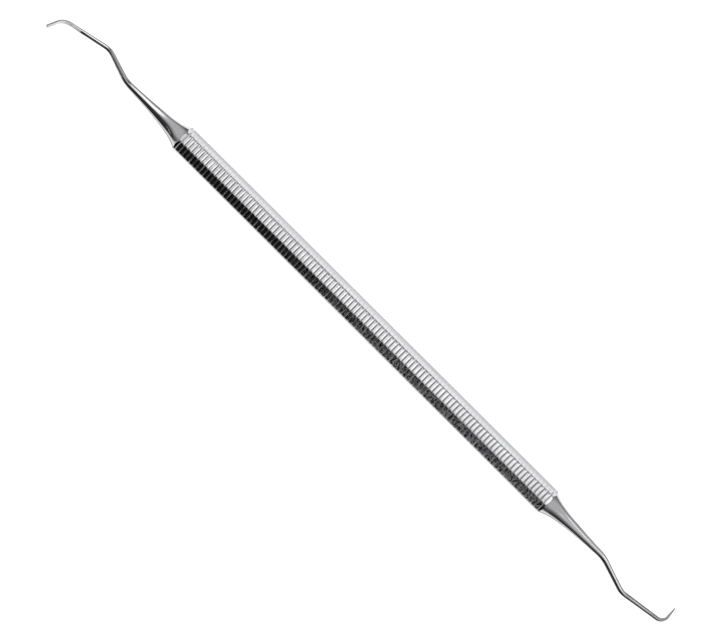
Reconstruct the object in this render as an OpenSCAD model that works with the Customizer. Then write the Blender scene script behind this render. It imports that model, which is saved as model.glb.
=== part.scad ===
// Double-ended hand scaler with a serrated octagonal handle.
// Millimetres. X runs along the handle, the shanks bend in the XY plane and Z is up.
// The origin lies on the underside facet of the handle, halfway along it.

/* [Handle] */
// Length of the serrated tube between its two end faces
handle_l = 107.6; // [80:0.1:130]
// Distance between opposite facets
across_flats = 6; // [5.2:0.1:9]
// Wanted distance from one serration to the next
groove_pitch = 1; // [0.7:0.05:2]
// Width of a serration at the facet
groove_w = 0.24; // [0.16:0.02:0.6]
// Depth of a serration below the facet
groove_depth = 0.08; // [0.05:0.01:0.3]
// Bore through the handle tube
bore_d = 4; // [3.2:0.1:4.6]

/* [Socket] */
// Length of the plug that closes each end of the bore
plug_l = 14; // [8:0.5:30]
// Hole in the plug for the tang
socket_d = 2.4; // [1.6:0.1:3]
// Solid floor left in the plug below that hole
plug_floor = 1.5; // [1:0.1:4]
// Room left all round for the braze
braze_gap = 0.02; // [0.01:0.01:0.05]

/* [Flare and shank] */
// Distance from the seam to the end of a facet on the flare
collar_l = 0.75; // [0.4:0.05:1.5]
// Diameter that the long taper adds to the shank at the handle
taper_swell = 4.1; // [3:0.1:4.2]
// Length in which the long taper loses about two thirds of its swell
taper_l = 7.6; // [5:0.1:10]
// Length in which the lip beside the handle loses about two thirds of its swell
lip_l = 1.15; // [0.6:0.05:1.5]
// Diameter that the taper runs down to
shank_d = 0.95; // [0.8:0.05:1.4]
// Centre line radius of the bend beside the flare
neck_bend_r = 9; // [5:0.5:12]
// Centre line radius of the bend halfway along the shank
elbow_bend_r = 4.5; // [2:0.5:6]

/* [Blade] */
// Width of the blade
blade_w = 1; // [0.6:0.05:1.2]
// Round shank left between the second bend and the start of the face
heel_start = 1; // [0.3:0.1:4]
// Length of the rounding at the toe
toe_r = 0.2; // [0.1:0.05:0.5]

/* [Open end, at minus X] */
// Seam to the first bend
open_neck_l = 17.3; // [12:0.1:24]
// First bend to the second
open_offset_l = 7.6; // [6:0.1:12]
// Second bend to the corner of the hook
open_terminal_l = 11.5; // [9:0.1:14]
// Corner of the hook to the toe
open_blade_l = 5.3; // [3.5:0.1:6]
// Turn of the first bend
open_neck_turn = 18.4; // [8:0.1:30]
// Turn of the second bend
open_elbow_turn = 30.2; // [15:0.1:45]
// Turn of the hook
open_hook_turn = 66; // [45:0.1:75]
// Centre line radius of the hook
open_hook_r = 3; // [1.5:0.05:3.5]
// Roll of the hook about the shank, upwards
open_lean = 42; // [-10:1:45]
// Thickness from the face to the rounded back, where the hook starts
open_blade_t = 0.66; // [0.6:0.02:0.9]
// Thickness from face to back at the toe
open_toe_t = 0.6; // [0.3:0.02:0.66]

/* [Closed end, at plus X] */
// Seam to the first bend
closed_neck_l = 17.1; // [12:0.1:24]
// First bend to the second
closed_offset_l = 8.2; // [6:0.1:12]
// Second bend to the corner of the hook
closed_terminal_l = 10.9; // [9:0.1:14]
// Corner of the hook to the toe
closed_blade_l = 4.1; // [3.2:0.1:5.2]
// Turn of the first bend
closed_neck_turn = 18.4; // [8:0.1:30]
// Turn of the second bend
closed_elbow_turn = 27; // [15:0.1:45]
// Turn of the hook
closed_hook_turn = 85; // [70:0.1:95]
// Centre line radius of the hook
closed_hook_r = 1.75; // [1.2:0.05:2.2]
// Roll of the hook about the shank, downwards
closed_lean = 8; // [-10:1:28]
// Thickness from the face to the rounded back, where the hook starts
closed_blade_t = 0.9; // [0.6:0.02:0.96]
// Thickness from face to back at the toe
closed_toe_t = 0.3; // [0.2:0.02:0.6]

/* [Hidden] */
$fn = 64;

// Half the distance across the flats, which is also the height of the axis
apothem = across_flats / 2;
// An odd number of lands leaves one halfway along, where the tool rests
land_count = 2 * floor(handle_l / groove_pitch / 2) + 1;
land_pitch = handle_l / land_count;
// A slab this wide reaches past every corner of the octagon
slab_w = 3 * across_flats;
// Room past the end of the tang in the plug
tang_clearance = 0.5;
tang_l = plug_l - plug_floor - tang_clearance;
// Sections along the flare, closer together beside the handle
flare_steps = 20;
flare_crowding = 1.7;
// How far the tang and the shank reach into the flare that they are part of
tang_root = 1;
shank_root = 1;
// Step from the end of the flare down to the shank
flare_step = 0.01;
// Points round a ring, and rings along each bend, along the heel, along the hook and round the toe
ring_sides = 24;
bend_steps = 6;
heel_steps = 5;
hook_steps = 10;
toe_steps = 5;
// Angle at which the rounding of the toe ends in a small flat
toe_round = 75;

// Diameter of the flare and shank, from the end of the facets outwards
function taper_d(reach) =
    shank_d
    + taper_swell * exp(-reach / taper_l)
    + (across_flats - shank_d - taper_swell) * exp(-reach / lip_l);

// Straight length that a bend takes from each of its two legs
function leg(bend_r, turn) = bend_r * tan(turn / 2);

// A place on the path is a 4 by 4 matrix: its X heads along the path and its Y towards the hook's centre
function ahead(l) = [[1, 0, 0, l], [0, 1, 0, 0], [0, 0, 1, 0], [0, 0, 0, 1]];

// Turn of a place about its own heading
function roll(angle) = [
    [1, 0, 0, 0],
    [0, cos(angle), -sin(angle), 0],
    [0, sin(angle), cos(angle), 0],
    [0, 0, 0, 1]
];

// Step along a bend towards plus Y, or minus Y for a negative turn
function arc(turn, r) = [
    [cos(turn), -sin(turn), 0, r * sin(abs(turn))],
    [sin(turn), cos(turn), 0, sign(turn) * r * (1 - cos(turn))],
    [0, 0, 1, 0],
    [0, 0, 0, 1]
];

// Ring of points round a place: a circle cut off flat at a height, with that profile thinned in its height,
// then drawn in towards the flat by a share
function ground_ring(place, d, face, thin = 1, share = 1) = [for (k = [0:ring_sides - 1])
    let (
        angle = 360 * k / ring_sides,
        height = thin * (face + (min(d / 2 * cos(angle), face) - face) * share),
        point = place * [0, height, d / 2 * sin(angle) * share, 1]
    )
    [point.x, point.y, point.z]];

// The same with no flat
function round_ring(place, d) = ground_ring(place, d, d);

// Stands a shape that was drawn along Z on the X axis
module along_x() {
    rotate([0, 90, 0]) children();
}

// Four crossed slabs of one outline leave a regular octagon
module octagon_from_slabs() {
    intersection_for (quarter = [0:3])
        rotate([45 * quarter, 0, 0])
        linear_extrude(slab_w, center = true)
        children();
}

// Side view of the handle, with a groove between each two lands
module serrated_outline() {
    lands = [for (land = [0:land_count - 1])
        let (low = -handle_l / 2 + land * land_pitch)
        each [
            [low, apothem - groove_depth],
            [low + groove_w / 2, apothem],
            [low + land_pitch - groove_w / 2, apothem]
        ]];
    upper = concat(lands, [[handle_l / 2, apothem - groove_depth]]);
    last = len(upper) - 1;
    lower = [for (i = [last:-1:0]) [upper[i].x, -upper[i].y]];
    polygon(concat(upper, lower));
}

// Side view of the collar: half a groove, then a plain facet
module collar_outline(reach) {
    polygon([
        [0, groove_depth - apothem],
        [groove_w / 2, -apothem],
        [reach, -apothem],
        [reach, apothem],
        [groove_w / 2, apothem],
        [0, apothem - groove_depth]
    ]);
}

// Turned trumpet from the seam to the first bend
module trumpet(reach) {
    wall = [for (i = [0:flare_steps])
        let (x = reach * pow(i / flare_steps, flare_crowding))
        [taper_d(x - collar_l) / 2, x]];
    along_x() rotate_extrude() polygon(concat([[0, 0]], wall, [[0, reach]]));
}

// Skin over a row of rings, from the first ring to the last, with a flat cap at each end; the last cap is a fan
// round its middle, because the flat of the blade puts some of its corners in one line
module skin(rings) {
    last = len(rings) - 1;
    middle = (rings[last][ring_sides / 4] + rings[last][ring_sides * 3 / 4]) / 2;
    tip = len(rings) * ring_sides;
    sides = [for (i = [0:last - 1], k = [0:ring_sides - 1])
        let (next = (k + 1) % ring_sides)
        [
            i * ring_sides + k,
            (i + 1) * ring_sides + k,
            (i + 1) * ring_sides + next,
            i * ring_sides + next
        ]];
    first_cap = [for (k = [0:ring_sides - 1]) k];
    last_cap = [for (k = [0:ring_sides - 1])
        [last * ring_sides + (k + 1) % ring_sides, last * ring_sides + k, tip]];
    polyhedron(
        concat([for (ring = rings) each ring], [middle]),
        concat(sides, [first_cap], last_cap),
        convexity = 10);
}

// One forged working end: tang, collar, flare, bent shank and blade, along plus X from the seam
module working_end(
    neck_l, offset_l, terminal_l, blade_l, neck_turn, elbow_turn, hook_turn, hook_r, lean, blade_t, toe_t
) {
    neck_leg = leg(neck_bend_r, neck_turn);
    elbow_leg = leg(elbow_bend_r, elbow_turn);
    hook_leg = leg(hook_r, hook_turn);
    flare_l = neck_l - neck_leg;
    heel_l = terminal_l - elbow_leg - hook_leg - heel_start;
    toe_l = blade_l - hook_leg;
    hook_l = hook_r * hook_turn * PI / 180;
    face = blade_t - blade_w / 2;

    // Share of the blade's thickness that is left at a distance from the start of the hook
    function thin(reach) = 1 - (1 - toe_t / blade_t) * reach / (hook_l + toe_l);

    // Places where the path changes, each worked out from the one before it
    neck = ahead(flare_l);
    elbow = neck * arc(-neck_turn, neck_bend_r) * ahead(offset_l - neck_leg - elbow_leg);
    terminal = elbow * arc(elbow_turn, elbow_bend_r);
    heel = terminal * ahead(heel_start) * roll(lean);
    hook = heel * ahead(heel_l);
    toe = hook * arc(hook_turn, hook_r);

    // Diameters at those places
    neck_d = taper_d(flare_l - collar_l) - 2 * flare_step;
    elbow_d = taper_d(neck_l + offset_l - elbow_leg - collar_l);

    root_ring = round_ring(ahead(flare_l - shank_root) * roll(lean), neck_d - 2 * flare_step);
    neck_rings = [for (i = [0:bend_steps])
        round_ring(neck * arc(-neck_turn * i / bend_steps, neck_bend_r) * roll(lean), neck_d)];
    elbow_rings = [for (i = [0:bend_steps])
        round_ring(elbow * arc(elbow_turn * i / bend_steps, elbow_bend_r) * roll(lean), elbow_d)];
    heel_rings = [for (i = [0:heel_steps - 1])
        let (
            part = i / heel_steps,
            d = elbow_d + (blade_w - elbow_d) * part,
            height = d / 2 + (face - d / 2) * part * part
        )
        ground_ring(heel * ahead(heel_l * part), d, height)];
    hook_rings = [for (i = [0:hook_steps])
        let (part = i / hook_steps)
        ground_ring(hook * arc(hook_turn * part, hook_r), blade_w, face, thin(hook_l * part))];
    toe_rings = [for (i = [0:toe_steps])
        let (angle = toe_round * i / toe_steps, reach = toe_l - toe_r * (1 - sin(angle)))
        ground_ring(toe * ahead(reach), blade_w, face, thin(hook_l + reach), cos(angle))];

    translate([-tang_l, 0, 0])
        along_x()
        cylinder(h = tang_l + tang_root, d = socket_d - 2 * braze_gap);
    intersection() {
        octagon_from_slabs() collar_outline(flare_l);
        trumpet(flare_l);
    }
    skin(concat([root_ring], neck_rings, elbow_rings, heel_rings, hook_rings, toe_rings));
}

// Plug along plus X from its inner end to the seam
module socket_plug() {
    along_x() difference() {
        cylinder(h = plug_l, d = bore_d - 2 * braze_gap);
        translate([0, 0, plug_floor]) cylinder(h = plug_l, d = socket_d);
    }
}

// Puts a piece that was drawn outwards from the seam at the plus X end of the handle
module at_closed_end() {
    translate([handle_l / 2, 0, apothem]) children();
}

// The same at the minus X end, turned half round about Z
module at_open_end() {
    translate([-handle_l / 2, 0, apothem]) rotate(180) children();
}

module handle_tube() {
    color("silver")
    translate([0, 0, apothem])
    difference() {
        octagon_from_slabs() serrated_outline();
        along_x() cylinder(h = 2 * handle_l, d = bore_d, center = true);
    }
}

module open_end_plug() {
    color("darkgray") at_open_end() translate([-plug_l, 0, 0]) socket_plug();
}

module closed_end_plug() {
    color("darkgray") at_closed_end() translate([-plug_l, 0, 0]) socket_plug();
}

module open_working_end() {
    color("lightgray") at_open_end() working_end(
        open_neck_l, open_offset_l, open_terminal_l, open_blade_l,
        open_neck_turn, open_elbow_turn, open_hook_turn, open_hook_r, open_lean,
        open_blade_t, open_toe_t);
}

module closed_working_end() {
    color("lightgray") at_closed_end() working_end(
        closed_neck_l, closed_offset_l, closed_terminal_l, closed_blade_l,
        closed_neck_turn, closed_elbow_turn, closed_hook_turn, closed_hook_r, -closed_lean,
        closed_blade_t, closed_toe_t);
}

handle_tube();
open_end_plug();
closed_end_plug();
open_working_end();
closed_working_end();
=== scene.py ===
import math

import bpy
from bpy.props import FloatProperty, FloatVectorProperty, IntProperty, PointerProperty
from mathutils import Matrix, Vector


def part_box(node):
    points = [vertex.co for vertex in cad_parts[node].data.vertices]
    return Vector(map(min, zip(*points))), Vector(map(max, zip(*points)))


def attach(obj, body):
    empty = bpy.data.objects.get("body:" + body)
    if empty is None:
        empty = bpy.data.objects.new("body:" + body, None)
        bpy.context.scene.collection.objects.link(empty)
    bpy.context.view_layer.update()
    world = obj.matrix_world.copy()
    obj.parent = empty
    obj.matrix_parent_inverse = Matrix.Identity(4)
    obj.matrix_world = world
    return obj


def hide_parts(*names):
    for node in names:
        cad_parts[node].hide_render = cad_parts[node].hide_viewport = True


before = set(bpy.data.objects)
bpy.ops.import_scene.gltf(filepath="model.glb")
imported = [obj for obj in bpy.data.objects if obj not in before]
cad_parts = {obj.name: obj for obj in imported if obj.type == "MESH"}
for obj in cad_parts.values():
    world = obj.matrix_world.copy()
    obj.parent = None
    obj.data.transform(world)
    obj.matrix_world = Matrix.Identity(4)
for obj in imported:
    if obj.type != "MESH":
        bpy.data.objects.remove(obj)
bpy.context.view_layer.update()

bl_info = {
    "name": "Hand Scaler",
    "version": (1, 0, 0),
    "blender": (4, 5, 0),
    "location": "View3D > Sidebar > Scaler",
    "description": "Builds a double-ended hand scaler round its packed frame",
    "category": "Object",
}

# Units: everything below is in metres and radians, unless a comment says otherwise
MM = 0.001
MICRON = 0.001 * MM
BODY = "root"

# Sizes that the frame gives
TUBE_LOW, TUBE_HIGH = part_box("handle_tube")
HANDLE_L = TUBE_HIGH.x - TUBE_LOW.x
ACROSS_FLATS = TUBE_HIGH.z - TUBE_LOW.z
AXIS_Z = (TUBE_LOW.z + TUBE_HIGH.z) / 2

# Field, label, size at the open end and size at the closed end, in millimetres
END_LENGTHS = (
    ("neck_l", "Seam to the first bend", 17.3, 17.1),
    ("offset_l", "First bend to the second", 7.6, 8.2),
    ("terminal_l", "Second bend to the corner of the hook", 11.5, 10.9),
    ("blade_l", "Corner of the hook to the toe", 5.3, 4.1),
    ("hook_r", "Centre line radius of the hook", 3.0, 1.75),
    ("blade_t", "Thickness from face to back where the hook starts", 0.66, 0.9),
    ("toe_t", "Thickness from face to back at the toe", 0.6, 0.3),
)
# The same for angles, in degrees
END_TURNS = (
    ("neck_turn", "Turn of the first bend", 18.4, 18.4),
    ("elbow_turn", "Turn of the second bend", 30.2, 27.0),
    ("hook_turn", "Turn of the hook", 66.0, 85.0),
    ("lean", "Roll of the hook about the shank, upwards", 42.0, -8.0),
    ("heel_twist", "Roll of the ground heel back from the hook", 5.0, 0.0),
)
# The same for shares of one
END_SHARES = (("back_ground", "How far the back of the blade was ground like its face", 0.7, 1.0),)


def linear(hex_colour):
    """Linear RGB of an sRGB hex colour."""
    parts = [int(hex_colour[i:i + 2], 16) / 255 for i in (1, 3, 5)]
    return tuple(c / 12.92 if c <= 0.04045 else ((c + 0.055) / 1.055) ** 2.4 for c in parts)


def length_property(label, words, size):
    """A length that a user may change, given in metres."""
    return FloatProperty(name=label, description=words, default=size, min=0.0, precision=5, unit="LENGTH")


def colour_property(label, words, hex_colour):
    """A colour that a user may change."""
    return FloatVectorProperty(
        name=label, description=words, default=linear(hex_colour), subtype="COLOR", size=3, min=0.0, max=1.0)


def end_properties(column):
    """The sizes of one bent end, from a column of the three lists."""
    found = {}
    for row in END_LENGTHS:
        found[row[0]] = length_property(row[1], row[1], row[column] * MM)
    for row in END_TURNS:
        found[row[0]] = FloatProperty(
            name=row[1], description=row[1], default=math.radians(row[column]), subtype="ANGLE")
    for row in END_SHARES:
        found[row[0]] = FloatProperty(
            name=row[1], description=row[1], default=row[column], min=0.0, max=1.0, subtype="FACTOR")
    return found


class HandleSizes(bpy.types.PropertyGroup):
    """Sizes of the serrated tube"""
    length: length_property("Length", "Tube between its two end faces", HANDLE_L)
    across_flats: length_property("Across flats", "Distance between opposite facets", ACROSS_FLATS)
    bore: length_property("Bore", "Diameter of the bore", 4 * MM)
    pitch: length_property("Pitch", "Wanted distance from one serration to the next", 1 * MM)
    groove_w: length_property("Groove width", "Width of a serration at the facet", 0.24 * MM)
    groove_depth: length_property("Groove depth", "Depth of a serration below the facet", 0.08 * MM)
    corner_r: length_property("Corner radius", "Rounding that polishing leaves on the corners", 0.25 * MM)
    crown: length_property("Crown", "How much lower a facet lies at its corners", 0.014 * MM)
    edge_w: length_property("Edge width", "Width of the rounding beside a serration", 0.1 * MM)
    edge_drop: length_property("Edge drop", "Depth of the rounding beside a serration", 0.012 * MM)
    wobble: length_property("Wobble", "How far a groove strays from its place", 0.05 * MM)
    seed: IntProperty(name="Seed", description="Seed of the uneven grooves", default=7)


class ShankSizes(bpy.types.PropertyGroup):
    """Sizes that both working ends share"""
    tang_d: length_property("Tang", "Diameter of the tang in its socket", 2.36 * MM)
    tang_l: length_property("Tang length", "Tang from the seam to its tip", 12 * MM)
    tang_chamfer: length_property("Tang chamfer", "Chamfer at the tip of the tang", 0.2 * MM)
    collar_l: length_property("Collar", "Seam to the end of a facet on the flare", 0.75 * MM)
    taper_swell: length_property("Taper swell", "Diameter that the long taper adds at the handle", 4.1 * MM)
    taper_l: length_property("Taper length", "Length that takes two thirds off its swell", 7.6 * MM)
    lip_l: length_property("Lip length", "Length that takes two thirds off its swell", 1.15 * MM)
    shank_d: length_property("Shank", "Diameter that the taper runs down to", 0.95 * MM)
    neck_bend_r: length_property("Neck bend", "Centre line radius of the first bend", 9 * MM)
    elbow_bend_r: length_property("Elbow bend", "Centre line radius of the second bend", 4.5 * MM)
    blade_w: length_property("Blade width", "Width of the blade", 1 * MM)
    heel_start: length_property("Heel start", "Round shank between the second bend and the face", 1 * MM)
    ground_l: length_property("Ground heel", "Length of the heel that the grinding stone reached", 2.3 * MM)
    crest_h: length_property("Crest", "Height of the crest where heel and face meet", 0.03 * MM)
    crest_l: length_property("Crest place", "Start of the hook to the crest", 0.9 * MM)
    twist_l: length_property("Twist end", "Length past the crest in which the heel's roll runs out", 2 * MM)
    soft_edge: length_property("Soft edge", "Rounding between face and back before the ground heel", 0.1 * MM)
    toe_r: length_property("Toe rounding", "Length of the rounding at the toe", 0.2 * MM)


class OpenEndSizes(bpy.types.PropertyGroup):
    """Path of the end with the more open hook"""
    __annotations__ = end_properties(2)


class ClosedEndSizes(bpy.types.PropertyGroup):
    """Path of the end with the tighter hook"""
    __annotations__ = end_properties(3)


class FinishColours(bpy.types.PropertyGroup):
    """Colours of the steels and of the stage"""
    polished: colour_property("Polished steel", "Facets, flares and shanks", "#D2D2D4")
    worn: colour_property("Worn steel", "Duller streaks in the polish", "#C2C2C4")
    # The cut colour is painted shade, laid into the bottoms of the grooves on the level facets
    cut: colour_property("Painted groove shade", "Bottoms of the serrations on the level facets", "#6E6E70")
    ground: colour_property("Ground steel", "Face of the blade", "#D2D3D4")
    turned: colour_property("Turned steel", "Plugs inside the tube", "#B4B3B0")
    floor: colour_property("Floor", "White acrylic", "#F4F4F4")


class ScalerSettings(bpy.types.PropertyGroup):
    """All settings of the hand scaler"""
    handle: PointerProperty(type=HandleSizes)
    shank: PointerProperty(type=ShankSizes)
    open_end: PointerProperty(type=OpenEndSizes)
    closed_end: PointerProperty(type=ClosedEndSizes)
    colours: PointerProperty(type=FinishColours)


# Kinds of nodes that come up most
VECTOR_MATH = "ShaderNodeVectorMath"
RANGE = "ShaderNodeMapRange"
MIX = "ShaderNodeMix"
NOISE = "ShaderNodeTexNoise"
JOIN_XYZ = "ShaderNodeCombineXYZ"
SPLIT_XYZ = "ShaderNodeSeparateXYZ"
# Setting of a range that changes softly
SOFT = {"interpolation_type": "SMOOTHSTEP"}


def output(source):
    """The first output in use of a node, or the output itself."""
    if isinstance(source, bpy.types.Node):
        return next(socket for socket in source.outputs if socket.enabled)
    return source


def feed(tree, node, inputs):
    """Feeds the sockets of a node, by name or in order: each with a value, an output, a node or a list."""
    named = inputs if isinstance(inputs, dict) else dict(enumerate(inputs))
    for name, value in named.items():
        for source in map(output, value if isinstance(value, list) else [value]):
            if isinstance(source, bpy.types.NodeSocket):
                tree.links.new(source, node.inputs[name])
            else:
                node.inputs[name].default_value = source


def add(tree, kind, inputs=(), **settings):
    """Adds a node with its settings and feeds it. A kind in capitals is an operation of a Math node."""
    if kind.isupper():
        settings["operation"] = kind
        kind = "ShaderNodeMath"
    new = tree.nodes.new(kind)
    for name, value in settings.items():
        setattr(new, name, value)
    feed(tree, new, inputs)
    return new


def shader_tree(name):
    """A new material with one Principled BSDF, and its tree and shader."""
    material = bpy.data.materials.new(name)
    material.use_nodes = True
    tree = material.node_tree
    tree.nodes.clear()
    shader = add(tree, "ShaderNodeBsdfPrincipled")
    add(tree, "ShaderNodeOutputMaterial", {"Surface": shader})
    return material, tree, shader


def rgba(colour):
    """A colour with full alpha, as a node socket takes it."""
    return (*colour, 1.0)


# Spacing of the marks that each finish shows
STREAK_L = 7 * MM
STREAK_W = 0.16 * MM
BAND_L = 26 * MM
BAND_W = 0.8 * MM
MOTTLE = 0.6 * MM
SCUFF_L = 0.7 * MM
SCUFF_W = 0.24 * MM
TOOL_MARK = 0.3 * MM
GRIND_MARK = 0.12 * MM

# Roughness of each finish, in pairs from the least to the most
POLISHED_ROUGH = (0.09, 0.17)
CUT_ROUGH = 0.26
SCUFF_ROUGH = 0.48
GROUND_ROUGH = 0.38
TURNED_ROUGH = (0.28, 0.42)

# Heights in microns: bands along the handle, and its waves at the open and at the closed end
BAND_HEIGHT = 7.0
WAVE_HEIGHTS = (8.0, 2.5)
# What is left of the waves on the facet that was polished smooth
CALM = 0.12

# Places between which the handle's finish changes: along it, and across it from its axis
WAVY_ENDS = (-20 * MM, 20 * MM)
WORN_END = (-35 * MM, 15 * MM)
SCUFFED_SIDE = (-0.8 * MM, -1.5 * MM)
LEVEL_NEAR = (-1.5 * MM, -1.1 * MM)
LEVEL_FAR = (1.6 * MM, 1.1 * MM)


def marks(tree, coordinates, size, detail=2.0, roughness=0.6):
    """Noise with marks of a size along X, Y and Z."""
    stretched = add(tree, "ShaderNodeMapping", {"Vector": coordinates, "Scale": tuple(1 / s for s in size)})
    return add(tree, NOISE, {"Vector": stretched, "Scale": 1.0, "Detail": detail, "Roughness": roughness})


def polished_steel(tree, colours, coordinates):
    """Wheel-polished stainless steel: bright, with long hazy streaks and a faint orange peel.
    Returns its colour, roughness and height, so that a finish can work on them further."""
    streaks = marks(tree, coordinates, (STREAK_L, STREAK_W, STREAK_W), detail=3.0)
    mottle = marks(tree, coordinates, (MOTTLE, MOTTLE, MOTTLE))
    haze = add(tree, RANGE, (streaks, 0.35, 0.75, 0.0, 1.0))
    colour = add(tree, MIX, {
        "Factor": haze, "A": rgba(colours.polished), "B": rgba(colours.worn)}, data_type="RGBA")
    rough = add(tree, RANGE, (haze, 0.0, 1.0, *POLISHED_ROUGH))
    height = add(tree, "MULTIPLY_ADD", (streaks, 0.5, mottle))
    return colour, rough, height


def serrated_stainless(colours):
    """Stainless bar, polished after the serrations were cut: mirror-like lands that the wheel left wavy, most
    towards the open end; hazier grooves, because the wheel reaches their bottoms less, and painted shade in
    the bottoms of those on the level facets; and a side scuffed towards the closed end, where reflections
    turn grey and patchy."""
    material, tree, shader = shader_tree("polished_stainless_serrated")
    place = add(tree, "ShaderNodeTexCoord").outputs["Object"]
    colour, rough, height = polished_steel(tree, colours, place)
    x, y, _ = add(tree, SPLIT_XYZ, {"Vector": place}).outputs
    groove = add(tree, "ShaderNodeAttribute", attribute_name="groove").outputs["Fac"]

    # Painted shade: the bottoms of the grooves on the level facets are darkened towards the cut colour
    near = add(tree, RANGE, (y, *LEVEL_NEAR, 0.0, 1.0), **SOFT)
    far = add(tree, RANGE, (y, *LEVEL_FAR, 0.0, 1.0), **SOFT)
    level = add(tree, "MULTIPLY", (near, far))
    bottom = add(tree, RANGE, (groove, 0.05, 0.6, 0.0, 1.0), **SOFT)
    painted_groove_shade = add(tree, "MULTIPLY", (bottom, level))
    groove_shade_colour = add(tree, MIX, {"Factor": painted_groove_shade, "A": colour, "B": rgba(colours.cut)}, data_type="RGBA")

    # Haze in the grooves, and scuffs in patches
    cut_rough = add(tree, MIX, {"Factor": groove, "A": rough, "B": CUT_ROUGH})
    spots = marks(tree, place, (SCUFF_W, SCUFF_L, SCUFF_L))
    patches = add(tree, RANGE, (spots, 0.44, 0.56, 0.0, 1.0), **SOFT)
    side = add(tree, RANGE, (y, *SCUFFED_SIDE, 0.0, 1.0), **SOFT)
    worn_end = add(tree, RANGE, (x, *WORN_END, 0.0, 1.0), **SOFT)
    side_patches = add(tree, "MULTIPLY", (patches, side))
    scuffed = add(tree, "MULTIPLY", (side_patches, worn_end))
    scuff_rough = add(tree, MIX, {"Factor": scuffed, "A": cut_rough, "B": SCUFF_ROUGH})

    # Bands along the handle, and waves that are calmer on the smooth facet
    long_bands = marks(tree, place, (BAND_L, BAND_W, BAND_W), detail=1.0)
    bands = add(tree, "MULTIPLY", (long_bands, BAND_HEIGHT))
    wavy_end = add(tree, RANGE, (x, *WAVY_ENDS, *WAVE_HEIGHTS), **SOFT)
    calm = add(tree, RANGE, (y, *LEVEL_FAR, CALM, 1.0), **SOFT)
    wave_height = add(tree, "MULTIPLY", (wavy_end, calm))
    surface = add(tree, "MULTIPLY_ADD", (height, wave_height, bands))
    bump = add(tree, "ShaderNodeBump", {"Height": surface, "Strength": 1.0, "Distance": MICRON})
    feed(tree, shader, {
        "Metallic": 1.0, "Base Color": groove_shade_colour, "Roughness": scuff_rough, "Normal": bump})
    return material


def forged_stainless(colours):
    """Forged stainless, wheel-polished along the shank: bright streaks that follow its bends. The face of the
    blade is left from the grinding stone: even and satin, with fine scratches across it."""
    material, tree, shader = shader_tree("polished_stainless_forged")
    sweep = add(tree, "ShaderNodeAttribute", attribute_name="sweep").outputs["Vector"]
    ground = add(tree, "ShaderNodeAttribute", attribute_name="ground").outputs["Fac"]
    colour, rough, height = polished_steel(tree, colours, sweep)
    scratches = marks(tree, sweep, (GRIND_MARK, 10 * GRIND_MARK, 10 * GRIND_MARK), roughness=0.5)
    ground_colour = add(tree, MIX, {
        "Factor": ground, "A": colour, "B": rgba(colours.ground)}, data_type="RGBA")
    ground_rough = add(tree, MIX, {"Factor": ground, "A": rough, "B": GROUND_ROUGH})
    ground_height = add(tree, MIX, {"Factor": ground, "A": height, "B": scratches})
    bump = add(tree, "ShaderNodeBump", {"Height": ground_height, "Strength": 1.0, "Distance": 1.5 * MICRON})
    feed(tree, shader, {
        "Metallic": 1.0, "Base Color": ground_colour, "Roughness": ground_rough, "Normal": bump})
    return material


def turned_stainless(colours):
    """Stainless rod as it comes off the lathe: duller, with rings left by the tool."""
    material, tree, shader = shader_tree("turned_stainless_plug")
    place = add(tree, "ShaderNodeTexCoord").outputs["Object"]
    # A wave texture of scale 1 has a ring every pi / 10
    rings = add(tree, "ShaderNodeTexWave", {
        "Vector": place, "Scale": math.pi / 10 / TOOL_MARK, "Distortion": 0.6, "Detail": 1.0},
        bands_direction="X").outputs["Fac"]
    colour = add(tree, MIX, {
        "Factor": rings, "A": rgba(colours.turned), "B": rgba(colours.worn)}, data_type="RGBA")
    rough = add(tree, RANGE, (rings, 0.0, 1.0, *TURNED_ROUGH))
    bump = add(tree, "ShaderNodeBump", {"Height": rings, "Distance": 4 * MICRON})
    feed(tree, shader, {"Metallic": 1.0, "Base Color": colour, "Roughness": rough, "Normal": bump})
    return material


# Serrated handle

RINGS_PER_LAND = 5
FACET_STEPS = 6
CORNER_STEPS = 5
BORE_SIDES = 64
SECTOR = math.pi / 4

# Inputs of the tree, by the kind of socket; most are named like the label of their size
TUBE_INPUTS = {
    "NodeSocketGeometry": ("Outline",),
    "NodeSocketFloat": (
        "Length", "Across flats", "Bore", "Groove width", "Groove depth", "Edge width", "Edge drop", "Wobble",
        "Axis height"),
    "NodeSocketInt": ("Lands", "Seed"),
    "NodeSocketMaterial": ("Material",),
}

# Grooves were cut one by one: the least and the most of the wanted depth
DEPTH_SHARES = (0.8, 1.1)
# Marks per metre in the straying and in the shallow patches of the grooves
STRAY_SCALE = 0.6 / MM
PATCH_SCALE = 0.8 / MM
# How much of a groove a shallow patch fills at most, and what is left of that from one place to another
PATCH_FILL = 0.45
PATCH_ENDS = (-20 * MM, 15 * MM)
PATCH_LEFT = (1.0, 0.4)
# Half widths of a groove beside a seam in which nothing strays
SEAM_REACH = 1.5
# The far upper facet was polished nearly smooth: its direction, where its edge lies, and how much of a groove
# is filled there
SMOOTH_FACET = (0.0, math.sqrt(0.5), math.sqrt(0.5))
SMOOTH_EDGE = (0.865, 0.895)
SMOOTH_FILL = 0.9


def octagon_flat(handle):
    """Half the angle that the flat part of a facet takes, seen from the axis."""
    apothem = handle.across_flats / 2
    return math.atan((apothem - handle.corner_r) * math.tan(SECTOR / 2) / apothem)


def octagon_radius(angle, handle):
    """Distance from the axis to the octagon of the handle, in a direction."""
    apothem = handle.across_flats / 2
    flat = octagon_flat(handle)
    off = abs((angle + SECTOR / 2) % SECTOR - SECTOR / 2)
    if off <= flat:
        return apothem / math.cos(off) - handle.crown * (off / flat) ** 2
    off_corner = SECTOR / 2 - off
    centre = (apothem - handle.corner_r) / math.cos(SECTOR / 2)
    sideways = centre * math.sin(off_corner)
    reach = math.sqrt(max(handle.corner_r ** 2 - sideways ** 2, 0.0))
    return centre * math.cos(off_corner) + reach - handle.crown


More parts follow.
